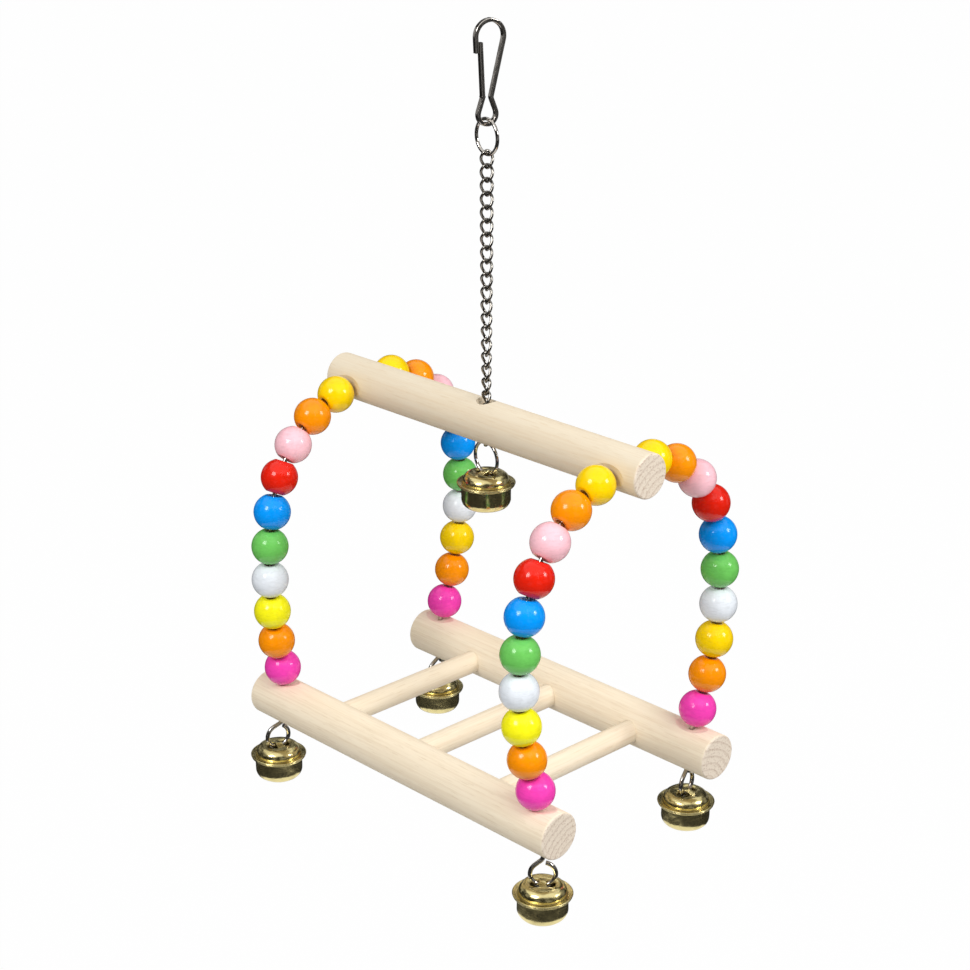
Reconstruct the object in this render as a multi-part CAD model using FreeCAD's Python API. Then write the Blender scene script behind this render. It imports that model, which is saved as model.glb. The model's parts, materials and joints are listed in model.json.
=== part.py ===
import FreeCAD, Part
import math
import os
from FreeCAD import Vector as V

# Hanging bird play gym, in millimetres.
# +X runs along the top perch, +Y from the front rail to the rear rail, +Z is up.
# The origin is where a cage bar bears on the inside of the snap hook's crook.

# Snap hook, bent from flat spring wire
HOOK_THICK = 1.2          # wire size in the plane of the hook
HOOK_WIDE = 1.8           # wire size across the hook
HOOK_ROUND = 0.3          # rounding of the wire's long edges
HOOK_LONG = 30.0          # bearing point down to the middle of the lower bow's wire
CROOK_R = 4.8             # crook radius, to the middle of the wire
CROOK_SHIFT = 0.7         # crook middle off the hanging axis
NOSE_LONG = 8.8           # bearing point down to the end of the nose
NOSE_LEAN = 0.5           # the nose leans in by this much over its length
LOOP_R = 3.0              # lower bow radius
WAIST_RISE = 8.0          # waist above the middle of the lower bow's wire
WAIST_LEFT = 1.5          # gate side of the waist, from the axis
WAIST_RIGHT = 1.25        # back side of the waist, from the axis
WAIST_BEND = 1.6          # bend radius at the waist
GATE_TOP = 5.8            # bearing point down to the tip of the gate
GATE_GAP = 0.25           # gap between the gate's tip and the nose
HOOK_TURN = 75.0          # heading of the hook's plane, degrees from +X

# Wire rings at both ends of the chain
RING_R = 5.3              # to the middle of the wire
RING_WIRE = 1.1
RING_SLIT = 0.12          # butt joint of the ring
TOP_RING_TURN = -8.0      # heading of the ring's plane
BELL_RING_TURN = -4.0
TOP_SLIT_ANGLE = 150.0    # where the butt joint lies, from the ring's side
BELL_SLIT_ANGLE = 200.0

# Twisted curb chain
LINKS = 22
LINK_PITCH = 4.18
LINK_WIRE = 0.9
LINK_WIDE = 4.4           # outside width
LINK_TURN = 37.0          # heading of the first link
LINK_STEP = -3.2          # further turn of each following link
HANG_GAP = 0.1            # clearance where one wire hangs on another

# Wooden dowels
PERCH_DIA = 14.0
RAIL_DIA = 15.0
DOWEL_LEN = 137.0         # perch and rails
DOWEL_EDGE = 0.7          # rounding of the ends
RAIL_SPACING = 72.0       # front rail to rear rail
PERCH_RISE = 104.5        # perch above the rails
RUNG_DIA = 7.6
RUNG_INSET = 21.2         # outer rungs from the arches, along the rails
SOCKET_DEEP = 6.0         # rung sockets in the rails
SOCKET_FIT = 0.05         # glue gap round a rung
BORE_DIA = 6.2            # chain bore through the perch
RING_SEAT_GAP = 0.15

# Arch wires and beads
ARCH_INSET = 10.5         # arches from the dowels' ends
ARCH_WIRE = 1.4
WIRE_FIT = 0.2            # drilled holes round the wire
HOLE_TILT_ANGLE = 5.0     # perch cross holes dip towards the front
WIRE_DROP_ANGLE = 6.0     # the wire also droops as it leaves the perch
WIRE_TUCK_ANGLE = 20.0    # slope at which it comes back in to a rail
TUCK_R = 8.0              # bend radius where it turns down into the rail
SEAT_ROUND = 16.0         # radius of the dished seats for the end beads
SEAT_DEEP = 1.2
BEADS = 10                # on each of the four strings
BEAD_DIA = 12.0
BEAD_BORE = 3.0
BEAD_FLAT = 2.4           # least radius of the flat ends
BEAD_GAP = 0.15           # least gap between neighbours
SEAT_HIGH = 0.7           # free wire between the perch and the first bead
SEAT_LOW = 1.1            # free wire between the last bead and the rail
BEAD_EDGE = 0.25          # chamfer at the bore mouths

# Eyes bent on the wire ends
EYE_R = 3.9               # to the middle of the wire
EYE_BEND = 1.5            # bend radius under the rail
EYE_TOUCH_ANGLE = 130.0   # where it runs into the circle of an eye straight below, from its side
EYE_GAP = 0.15            # gap between the wire's end and its run into the eye
# For each corner: the wire's place along its rail, from the arch, at the rail's top and under it;
# the rail's underside down to the bend; the eye's place beside the bend; the heading of its plane
HOLE_TOP = {"front_left": -0.6, "front_right": 2.6, "rear_left": -2.4, "rear_right": -0.5}
HOLE_LOW = {"front_left": -2.4, "front_right": 3.9, "rear_left": -3.2, "rear_right": -1.8}
EYE_DROP = {"front_left": 0.3, "front_right": 2.0, "rear_left": 0.3, "rear_right": 0.3}
EYE_SIDE = {"front_left": -2.4, "front_right": 0.0, "rear_left": -0.8, "rear_right": 0.0}
EYE_ANGLE = {"front_left": 77.0, "front_right": 45.0, "rear_left": 90.0, "rear_right": 103.0}

# Jingle bells
SHEET = 0.5               # metal thickness
RIM_R = 9.3
CAP_R = 7.45
CAP_HIGH = 3.5
CAP_STRAIGHT = 0.6        # height of the cap's straight side
CUP_R = 7.85
CUP_DEEP = 8.5
CUP_STRAIGHT = 5.2        # depth of the cup's straight side
CUP_RIM_IN = 0.2          # cup's rim inside the cap's rim
RIM_UP = 0.4              # rim's outer edge above its inner edge
WINDOW_LONG = 8.2         # opening in the cap's top
WINDOW_WIDE = 4.0
STRAP_WIDE = 2.2          # bridge across the opening
STRAP_UP = 0.6            # bridge above the cap
SLOT_WIDE = 1.7
SLOT_LONG = 9.6
SLOT_END = 3.0            # round holes at the slot's ends
PELLET_DIA = 4.0
PELLET_GAP = 0.15

UP = V(0, 0, 1)
PERCH_R = PERCH_DIA / 2
RAIL_R = RAIL_DIA / 2
ARCH_X = DOWEL_LEN / 2 - ARCH_INSET
RUNG_X = ARCH_X - RUNG_INSET
BEAD_COLOURS = ("yellow", "orange", "pink", "red", "blue", "green", "white", "yellow", "orange",
                "magenta")
CORNERS = {"front_left": (-1, -1), "front_right": (1, -1), "rear_left": (-1, 1),
           "rear_right": (1, 1)}


def heading(degrees):
    """Level unit vector at an angle from +X."""
    a = math.radians(degrees)
    return V(math.cos(a), math.sin(a), 0)


def unit(v):
    return v * (1 / v.Length)


# Paths are lists of segments. A line is (a, c); an arc is (a, q, c), where its end tangents meet at q.
def bend_angle(seg):
    return unit(seg[1] - seg[0]).getAngle(unit(seg[2] - seg[1]))


def arc_centre(seg):
    a, q, c = seg
    t, out = unit(q - a), unit(c - q)
    side = unit(out - t * out.dot(t))
    return a + side * ((q - a).Length / math.tan(bend_angle(seg) / 2))


def seg_length(seg):
    if len(seg) == 2:
        return (seg[1] - seg[0]).Length
    return (seg[0] - arc_centre(seg)).Length * bend_angle(seg)


def seg_point(seg, s):
    """Point at distance s along a segment."""
    a = seg[0]
    if len(seg) == 2:
        return a + unit(seg[1] - a) * s
    o = arc_centre(seg)
    r = (a - o).Length
    return o + (a - o) * math.cos(s / r) + unit(seg[1] - a) * (r * math.sin(s / r))


def path_point(path, s):
    """Point at distance s along a path; past the last segment it runs straight on."""
    for seg in path[:-1]:
        if s <= seg_length(seg):
            return seg_point(seg, s)
        s -= seg_length(seg)
    return seg_point(path[-1], s)


def path_edges(path):
    edges = []
    for seg in path:
        if len(seg) == 2:
            edges.append(Part.LineSegment(*seg).toShape())
        else:
            edges.append(Part.Arc(seg[0], seg_point(seg, seg_length(seg) / 2), seg[2]).toShape())
    return edges


def biarc(p0, t0, p1, t1):
    """Two tangent arcs from p0 heading t0 to p1 heading t1."""
    v, t = p1 - p0, t0 + t1
    k = 2 * (1 - t0.dot(t1))
    d = (-v.dot(t) + math.sqrt(v.dot(t) ** 2 + k * v.dot(v))) / k
    q0, q1 = p0 + t0 * d, p1 - t1 * d
    m = (q0 + q1) * 0.5
    return [(p0, q0, m), (m, q1, p1)]


def rounded_path(points, radii):
    """Straight runs between the points, with a bend of the given radius at each inner one."""
    path, at = [], points[0]
    for before, corner, after, r in zip(points, points[1:], points[2:], radii):
        turn = unit(corner - before).getAngle(unit(after - corner))
        back = r * math.tan(turn / 2)
        a, c = corner + unit(before - corner) * back, corner + unit(after - corner) * back
        if (a - at).Length > 1e-6:
            path.append((at, a))
        path.append((a, corner, c))
        at = c
    path.append((at, points[-1]))
    return path


def circle_arcs(centre, u, w, r, start, end, pieces):
    """Arcs of one circle from angle start to end, in the plane of u and w."""
    step = math.radians(end - start) / pieces
    path = []
    for i in range(pieces):
        a0 = math.radians(start) + i * step
        ring = [centre + u * (r * k * math.cos(a)) + w * (r * k * math.sin(a))
                for a, k in ((a0, 1), (a0 + step / 2, 1 / math.cos(step / 2)), (a0 + step, 1))]
        path.append(tuple(ring))
    return path


def round_sweep(path, radius):
    """Solid wire of round section along a path."""
    start = path[0]
    ring = Part.Wire(Part.makeCircle(radius, start[0], unit(start[1] - start[0])))
    return Part.Wire(path_edges(path)).makePipeShell([ring], True, False)


def flat_sweep(path, normal, thick, wide, corner):
    """Solid of rounded rectangular section along a flat path."""
    p, t = path[0][0], unit(path[0][1] - path[0][0])
    n = t.cross(normal)
    h, w = thick / 2, wide / 2
    points, marks = [], ((1, 1), (-1, 1), (-1, -1), (1, -1))
    for (i, j), first in zip(marks, (True, False, True, False)):
        a = p + n * (i * h) + normal * (j * (w - corner))
        m = p + n * (i * (h - corner * (1 - math.sqrt(0.5)))) + normal * (
            j * (w - corner * (1 - math.sqrt(0.5))))
        c = p + n * (i * (h - corner)) + normal * (j * w)
        points.append((a, m, c) if first else (c, m, a))
    edges = []
    for i in range(4):
        edges.append(Part.Arc(*points[i]).toShape())
        edges.append(Part.LineSegment(points[i][2], points[(i + 1) % 4][0]).toShape())
    pipe = Part.BRepOffsetAPI.MakePipeShell(Part.Wire(path_edges(path)))
    pipe.setBiNormalMode(normal)
    pipe.add(Part.Wire(edges), False, False)
    pipe.build()
    pipe.makeSolid()
    return pipe.shape()


def revolved(path, axis=UP):
    """Solid of revolution from a closed profile drawn in the XZ plane."""
    face = Part.Face(Part.Wire(path_edges(path)))
    solid = face.revolve(V(0, 0, 0), UP, 360)
    solid.Placement = FreeCAD.Placement(V(0, 0, 0), FreeCAD.Rotation(UP, axis))
    return solid


def rod(p, q, radius):
    return Part.makeCylinder(radius, (q - p).Length, p, q - p)


# Heights, worked down from the bearing point
HOOK_BOW_Z = -HOOK_LONG
# The ring swings round the corners of the flat wire
BOW_REACH = math.hypot(HOOK_WIDE / 2 - HOOK_ROUND, HOOK_THICK / 2 - HOOK_ROUND) + HOOK_ROUND
RING_TOP_Z = HOOK_BOW_Z + BOW_REACH + RING_WIRE / 2 + HANG_GAP
TOP_RING_Z = RING_TOP_Z - RING_R
RING_LOW_Z = TOP_RING_Z - RING_R
WIRE_STEP = RING_WIRE / 2 + LINK_WIRE / 2 + HANG_GAP
LINK_HIGH = LINK_PITCH + LINK_WIRE + HANG_GAP      # crown to crown, middle of the wire
FIRST_LINK_Z = RING_LOW_Z + WIRE_STEP
LAST_CROWN_Z = FIRST_LINK_Z - (LINKS - 1) * LINK_PITCH - LINK_HIGH
BELL_RING_TOP_Z = LAST_CROWN_Z + WIRE_STEP
BELL_RING_Z = BELL_RING_TOP_Z - RING_R
BELL_RING_LOW_Z = BELL_RING_Z - RING_R
RING_OUT = RING_R + RING_WIRE / 2
BORE_R = BORE_DIA / 2
# The perch rests on the ring's shoulders, which meet the edge of the chain bore
PERCH_Z = BELL_RING_Z + math.sqrt(RING_OUT ** 2 - BORE_R ** 2) + RING_SEAT_GAP + PERCH_R
RAIL_Z = PERCH_Z - PERCH_RISE
PERCH_SEAT = PERCH_R - SEAT_DEEP                   # dowel axis to the floor of a bead seat
RAIL_SEAT = RAIL_R - SEAT_DEEP
# Under a rail the wire bends aside, then runs straight to touch the eye's circle
EYE_SLANT = math.radians(180 - EYE_TOUCH_ANGLE)
EYE_FALL = EYE_R / math.sin(EYE_SLANT)             # bend down to the middle of the eye


def hook():
    """Hook and gate, cut from one bent wire at the gate's bend."""
    u, n = heading(HOOK_TURN), heading(HOOK_TURN - 90)
    top, low = HOOK_THICK / 2, HOOK_BOW_Z
    mid = CROOK_SHIFT
    waist_r, waist_l = V(WAIST_RIGHT, low + WAIST_RISE), V(-WAIST_LEFT, low + WAIST_RISE)
    # The back runs from the waist to touch the crook's circle
    dx, dz = mid - waist_r.x, top - CROOK_R - waist_r.y
    far = math.hypot(dx, dz)
    lean = math.atan2(dx, dz) + math.asin(CROOK_R / far)
    back_top = V(waist_r.x + math.tan(lean) * (top - waist_r.y), top)

    def loop_corner(waist, side):
        far = math.hypot(waist.x, LOOP_R + low - waist.y)
        lean = math.asin(LOOP_R / far) - math.asin(side * waist.x / far)
        return V(waist.x + side * math.tan(lean) * (waist.y - low), low)

    nose_x = mid - CROOK_R
    tip_x = nose_x + NOSE_LEAN * GATE_TOP / NOSE_LONG + HOOK_THICK + GATE_GAP
    flat = [V(nose_x + NOSE_LEAN, -NOSE_LONG), V(nose_x, top), back_top, waist_r,
            loop_corner(waist_r, 1), loop_corner(waist_l, -1), waist_l, V(tip_x, -GATE_TOP)]
    points = [u * p.x + UP * p.y for p in flat]
    path = rounded_path(points, (CROOK_R, CROOK_R, WAIST_BEND, LOOP_R, LOOP_R, WAIST_BEND))
    pivot = path[-1][0]
    body = flat_sweep(path[:-1], n, HOOK_THICK, HOOK_WIDE, HOOK_ROUND)
    relief = rod(pivot - n * HOOK_WIDE, pivot + n * HOOK_WIDE, HOOK_THICK / 2 + HANG_GAP)
    body = body.cut(relief)
    gate = flat_sweep(path[-1:], n, HOOK_THICK, HOOK_WIDE, HOOK_ROUND)
    knuckle = rod(pivot - n * (HOOK_WIDE / 2), pivot + n * (HOOK_WIDE / 2), HOOK_THICK / 2)
    return body, gate.fuse(knuckle), pivot, n


def wire_ring(z, turn, slit_at):
    u = heading(turn)
    open_deg = math.degrees(RING_SLIT / RING_R)
    path = circle_arcs(V(0, 0, z), u, UP, RING_R, slit_at + open_deg / 2,
                       slit_at + 360 - open_deg / 2, 4)
    return round_sweep(path, RING_WIRE / 2)


def chain_link():
    """One twisted link about the origin: an oval whose crowns are turned a quarter turn apart."""
    a, b = (LINK_WIDE - LINK_WIRE) / 2, LINK_HIGH / 2

    def at(t):
        turn = heading(45 * math.cos(t))
        return turn * (a * math.sin(t)) + UP * (b * math.cos(t))

    def along(t):
        return unit(at(t + 1e-5) - at(t - 1e-5))

    halves = []
    steps = 6
    for side in (0, math.pi):
        path = []
        for i in range(steps):
            t0, t1 = side + math.pi * i / steps, side + math.pi * (i + 1) / steps
            path += biarc(at(t0), along(t0), at(t1), along(t1))
        halves.append(round_sweep(path, LINK_WIRE / 2))
    return halves[0].fuse(halves[1])


def link_top(k):
    """Middle of the upper crown's wire of link k, counted from 0."""
    return FIRST_LINK_Z - k * LINK_PITCH


def link_heading(k):
    return LINK_TURN + k * LINK_STEP


def dowel(length, radius, edge):
    """Dowel along X with rounded ends."""
    h, r = length / 2, radius
    path = rounded_path([V(0, 0, -h), V(r, 0, -h), V(r, 0, h), V(0, 0, h)], (edge, edge))
    return revolved(path + [(V(0, 0, h), V(0, 0, -h))], axis=V(1, 0, 0))


def rail_hole(corner):
    """Where the wire enters a rail's bead seat, and where it bends under that rail."""
    sx, sy = CORNERS[corner]
    x, y = sx * ARCH_X, sy * RAIL_SPACING / 2
    bend_z = RAIL_Z - RAIL_R - EYE_DROP[corner] - EYE_BEND * math.tan(EYE_SLANT / 2)
    return V(x + HOLE_TOP[corner], y, RAIL_Z + RAIL_SEAT), V(x + HOLE_LOW[corner], y, bend_z)


def eye_middle(corner):
    return rail_hole(corner)[1] + heading(EYE_ANGLE[corner]) * EYE_SIDE[corner] - UP * EYE_FALL


def arch_half(corner):
    """Wire path from the perch's bead seat to the rail's, then on to the end of the eye."""
    sx, sy = CORNERS[corner]
    x = sx * ARCH_X
    out = V(0, sy, 0)
    tilt = math.radians(HOLE_TILT_ANGLE) * sy
    leave = out * math.cos(tilt) + UP * math.sin(tilt)
    start = V(x, 0, PERCH_Z) + leave * PERCH_SEAT
    fall = tilt - math.radians(WIRE_DROP_ANGLE)
    heading0 = out * math.cos(fall) + UP * math.sin(fall)
    seat, knee = rail_hole(corner)
    run = unit(knee - seat)
    b = math.radians(WIRE_TUCK_ANGLE)
    heading1 = run * math.cos(b) - out * math.sin(b)
    turn = seat - run * (TUCK_R * math.tan(b / 2))
    end = turn - heading1 * (TUCK_R * math.tan(b / 2))
    string = biarc(start, heading0, end, heading1)
    string.append((end, turn, seat))
    u, side = heading(EYE_ANGLE[corner]), EYE_SIDE[corner]
    eye = eye_middle(corner)
    touch_at = math.atan2(EYE_FALL, -side) + math.acos(EYE_R / math.hypot(EYE_FALL, side))
    touch = eye + (u * math.cos(touch_at) + UP * math.sin(touch_at)) * EYE_R
    tail = rounded_path([seat, knee, touch], (EYE_BEND,))
    # The eye ends where its wire comes up to the run in, at EYE_GAP from it
    first = math.degrees(touch_at)
    spare = math.degrees(math.acos(1 - (ARCH_WIRE + EYE_GAP) / EYE_R))
    tail += circle_arcs(eye, u, UP, EYE_R, first, first + 360 - spare, 4)
    return start, string, tail


def reversed_path(path):
    return [tuple(reversed(seg)) for seg in reversed(path)]


def bead_profile(half):
    """Half section of a bead: a ball cut flat at both ends, with a chamfered bore."""
    r, bore = BEAD_DIA / 2, BEAD_BORE / 2
    flat = math.sqrt(r ** 2 - half ** 2)
    low, high = V(flat, 0, -half), V(flat, 0, half)
    side = Part.Arc(low, V(r, 0, 0), high).toShape()
    ring = [high, V(bore + BEAD_EDGE, 0, half), V(bore, 0, half - BEAD_EDGE),
            V(bore, 0, BEAD_EDGE - half), V(bore + BEAD_EDGE, 0, -half), low]
    edges = [side] + [Part.LineSegment(p, q).toShape() for p, q in zip(ring, ring[1:])]
    return Part.Face(Part.Wire(edges))


def bead_places(string):
    """Middle and axis of each bead on a string, and half the length of a bead that fits there."""
    pitch = (sum(seg_length(seg) for seg in string) - SEAT_HIGH - SEAT_LOW) / BEADS
    tightest = min((seg[0] - arc_centre(seg)).Length for seg in string[:2])
    r, room, lean = BEAD_DIA / 2, (pitch - BEAD_GAP) / 2, math.tan(pitch / tightest / 2)
    half = math.sqrt(r ** 2 - BEAD_FLAT ** 2)
    # In the tightest bend the flat ends tip towards each other, which takes up some of the room
    spare = r ** 2 * (1 + lean ** 2) - room ** 2
    if spare > 0:
        half = min(half, (room - lean * math.sqrt(spare)) / (1 + lean ** 2))
    places = []
    for i in range(BEADS):
        s = SEAT_HIGH + (i + 0.5) * pitch
        p, m, q = (path_point(string, s + d) for d in (-half, 0, half))
        places.append(((p + q) * 0.25 + m * 0.5, unit(q - p)))
    return places, half


def bell():
    """Cap, cup and pellet about the rim's middle, with the strap across Y."""
    slope = RIM_UP / (RIM_R - CAP_R)

    def crown(r, top):
        """A flat crown of outer radius r, from its middle round to its straight side."""
        return biarc(V(0, 0, top), V(1, 0, 0), V(r, 0, CAP_STRAIGHT), V(0, 0, -1))

    outer, inner = crown(CAP_R, CAP_HIGH), crown(CAP_R - SHEET, CAP_HIGH - SHEET)
    pts = [outer[-1][2], V(CAP_R, 0, 0), V(RIM_R, 0, RIM_UP), V(RIM_R, 0, RIM_UP - SHEET),
           V(CAP_R, 0, -SHEET), V(CAP_R - SHEET, 0, -SHEET), inner[-1][2]]
    path = outer + list(zip(pts, pts[1:])) + reversed_path(inner) + [(inner[0][0], outer[0][0])]
    cap = revolved(path)
    ends = [V(s * (WINDOW_LONG - WINDOW_WIDE) / 2, 0, CAP_STRAIGHT) for s in (-1, 1)]
    window = Part.makeBox(WINDOW_LONG - WINDOW_WIDE, WINDOW_WIDE, CAP_HIGH,
                          V(ends[0].x, -WINDOW_WIDE / 2, CAP_STRAIGHT))
    for p in ends:
        window = window.fuse(Part.makeCylinder(WINDOW_WIDE / 2, CAP_HIGH, p))
    cap = cap.cut(window)
    # The strap is an arched band that springs from the cap on both sides of the opening
    foot = WINDOW_WIDE / 2 + SHEET
    top_r = (outer[0][0] - arc_centre(outer[0])).Length
    foot_z = CAP_HIGH - SHEET / 2 - top_r + math.sqrt(top_r ** 2 - foot ** 2)
    rise = CAP_HIGH + STRAP_UP - SHEET / 2 - foot_z
    bow = (foot ** 2 + rise ** 2) / (2 * rise)
    centre = V(-STRAP_WIDE / 2, 0, foot_z + rise - bow)
    span = math.asin(foot / bow)
    band = []
    for r in (bow + SHEET / 2, bow - SHEET / 2):
        band.append([centre + V(0, math.sin(a) * r, math.cos(a) * r) for a in (-span, 0, span)])
    edges = [Part.Arc(*band[0]).toShape(), Part.LineSegment(band[0][2], band[1][2]).toShape(),
             Part.Arc(*band[1]).toShape(), Part.LineSegment(band[1][0], band[0][0]).toShape()]
    strap = Part.Face(Part.Wire(edges)).extrude(V(STRAP_WIDE, 0, 0))
    cap = cap.fuse(strap)

    # Cup: a flange under the cap's rim, a straight side and a rounded base
    f = RIM_R - CUP_RIM_IN
    under = RIM_UP - SHEET - slope * CUP_RIM_IN
    out = biarc(V(CUP_R, 0, -CUP_STRAIGHT), V(0, 0, -1), V(0, 0, -CUP_DEEP), V(-1, 0, 0))
    inn = biarc(V(CUP_R - SHEET, 0, -CUP_STRAIGHT), V(0, 0, -1), V(0, 0, SHEET - CUP_DEEP),
                V(-1, 0, 0))
    neck = -2 * SHEET + slope * (CUP_R - CAP_R)
    mouth = CUP_R - SHEET
    pts = [V(mouth, 0, -SHEET + slope * (mouth - CAP_R)), V(f, 0, under), V(f, 0, under - SHEET),
           V(CUP_R, 0, neck), V(CUP_R, 0, -CUP_STRAIGHT)]
    path = list(zip(pts, pts[1:])) + out + [(out[-1][2], inn[-1][2])] + reversed_path(inn)
    path.append((inn[0][0], pts[0]))
    cup = revolved(path)
    below, deep = -CUP_DEEP - SHEET, CUP_DEEP + SHEET - CUP_STRAIGHT
    slot = Part.makeBox(SLOT_LONG, SLOT_WIDE, deep, V(-SLOT_LONG / 2, -SLOT_WIDE / 2, below))
    for s in (-1, 1):
        slot = slot.fuse(Part.makeCylinder(SLOT_END / 2, deep, V(s * SLOT_LONG / 2, 0, below)))
    cup = cup.cut(slot)
    base_r = (inn[-1][2] - arc_centre(inn[-1])).Length
    ball = V(0, 0, SHEET - CUP_DEEP + PELLET_GAP + PELLET_DIA / 2)
    pellet = Part.makeSphere(PELLET_DIA / 2, ball)
    return cap, cup, pellet, SHEET - CUP_DEEP + base_r


def hung_bell(shapes, wire_point, wire_r, loop_r, turn):
    """Copies of the bell's shapes, its strap resting in a wire loop that runs along the heading."""
    inside = loop_r - wire_r
    sag = inside - math.sqrt(inside ** 2 - (STRAP_WIDE / 2) ** 2)
    rest = wire_r + sag + HANG_GAP + SHEET - CAP_HIGH - STRAP_UP
    where = FreeCAD.Placement(wire_point + UP * rest, FreeCAD.Rotation(UP, turn))
    placed = []
    for shape in shapes:
        copy = shape.copy()
        copy.Placement = where
        placed.append(copy)
    return placed


nodes = {}
hook_body, hook_gate, GATE_PIVOT, GATE_AXIS = hook()
nodes["hook_body"], nodes["hook_gate"] = hook_body, hook_gate
nodes["top_ring"] = wire_ring(TOP_RING_Z, TOP_RING_TURN, TOP_SLIT_ANGLE)
nodes["bell_ring"] = wire_ring(BELL_RING_Z, BELL_RING_TURN, BELL_SLIT_ANGLE)

one_link = chain_link()
for k in range(LINKS):
    link = one_link.copy()
    link.Placement = FreeCAD.Placement(V(0, 0, link_top(k) - LINK_HIGH / 2),
                                       FreeCAD.Rotation(UP, link_heading(k)))
    nodes[f"link_{k + 1:02d}"] = link

# Arch wires and their beads
strings = {}
for side in ("left", "right"):
    front, rear = arch_half("front_" + side), arch_half("rear_" + side)
    strings["front_" + side], strings["rear_" + side] = front[1], rear[1]
    path = (reversed_path(front[1] + front[2]) + [(front[0], rear[0])] + rear[1] + rear[2])
    nodes[side + "_arch_wire"] = round_sweep(path, ARCH_WIRE / 2)

beads = {}
for corner, string in strings.items():
    places, half = bead_places(string)
    profile = bead_profile(half)
    for i, (middle, axis) in enumerate(places):
        colour = BEAD_COLOURS[i]
        if i == 7 and corner.startswith("front"):
            colour = "lemon"
        bead = profile.revolve(V(0, 0, 0), UP, 360)
        bead.Placement = FreeCAD.Placement(middle, FreeCAD.Rotation(UP, axis))
        beads.setdefault(colour, []).append(bead)
for colour, made in beads.items():
    nodes[colour + "_beads"] = Part.makeCompound(made)

# Perch, with the chain bore, the cross holes and the bead seats
perch = dowel(DOWEL_LEN, PERCH_R, DOWEL_EDGE)
perch.translate(V(0, 0, PERCH_Z))
cuts = [rod(V(0, 0, PERCH_Z - PERCH_DIA), V(0, 0, PERCH_Z + PERCH_DIA), BORE_R)]
hole_r = ARCH_WIRE / 2 + WIRE_FIT
for sx in (-1, 1):
    middle = V(sx * ARCH_X, 0, PERCH_Z)
    a = math.radians(HOLE_TILT_ANGLE)
    across = V(0, math.cos(a), math.sin(a))
    cuts.append(rod(middle - across * PERCH_DIA, middle + across * PERCH_DIA, hole_r))
    for s in (-1, 1):
        cuts.append(Part.makeSphere(SEAT_ROUND, middle + across * (s * (PERCH_SEAT + SEAT_ROUND))))
for tool in cuts:
    perch = perch.cut(tool)
nodes["top_perch"] = perch

# Rails, with the wire holes, the bead seats and the rung sockets
rung_places = {"left": -RUNG_X, "middle": 0.0, "right": RUNG_X}
for name, sy in (("front", -1), ("rear", 1)):
    y = sy * RAIL_SPACING / 2
    rail = dowel(DOWEL_LEN, RAIL_R, DOWEL_EDGE)
    rail.translate(V(0, y, RAIL_Z))
    cuts = []
    for side in ("_left", "_right"):
        seat, knee = rail_hole(name + side)
        run = unit(knee - seat)
        cuts.append(rod(seat - run * SEAT_DEEP, knee + run * RAIL_R, hole_r))
        cuts.append(Part.makeSphere(SEAT_ROUND, seat + UP * SEAT_ROUND))
    for x in rung_places.values():
        inner = V(x, y - sy * RAIL_R, RAIL_Z)
        cuts.append(rod(inner + V(0, sy * SOCKET_DEEP, 0), inner - V(0, sy * RAIL_R, 0),
                        RUNG_DIA / 2 + SOCKET_FIT))
    for tool in cuts:
        rail = rail.cut(tool)
    nodes[name + "_rail"] = rail
reach = RAIL_SPACING / 2 - RAIL_R + SOCKET_DEEP - 2 * SOCKET_FIT
for name, x in rung_places.items():
    nodes[name + "_rung"] = rod(V(x, -reach, RAIL_Z), V(x, reach, RAIL_Z), RUNG_DIA / 2)

# Bells: one under each eye and one under the chain's lower ring
*bell_shapes, ROLL_Z = bell()
hangers = {corner: (eye_middle(corner) - UP * EYE_R, ARCH_WIRE / 2, EYE_R, EYE_ANGLE[corner])
           for corner in CORNERS}
hangers["centre"] = (V(0, 0, BELL_RING_LOW_Z), RING_WIRE / 2, RING_R, BELL_RING_TURN)
for name, hanger in hangers.items():
    cap, cup, pellet = hung_bell(bell_shapes, *hanger)
    nodes[name + "_bell_cap"] = cap
    nodes[name + "_bell_cup"] = cup
    nodes[name + "_bell_pellet"] = pellet

os.makedirs("parts", exist_ok=True)
for name, shape in nodes.items():
    shape.exportStep(f"parts/{name}.step")
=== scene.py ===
"""Dresses the hanging bird gym: painted beads, brass bells, nickel wire and pale dowels."""

import json
import math

import bpy
import numpy as np
from bpy.props import FloatProperty, FloatVectorProperty, IntProperty, PointerProperty
from mathutils import Matrix, Vector


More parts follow.
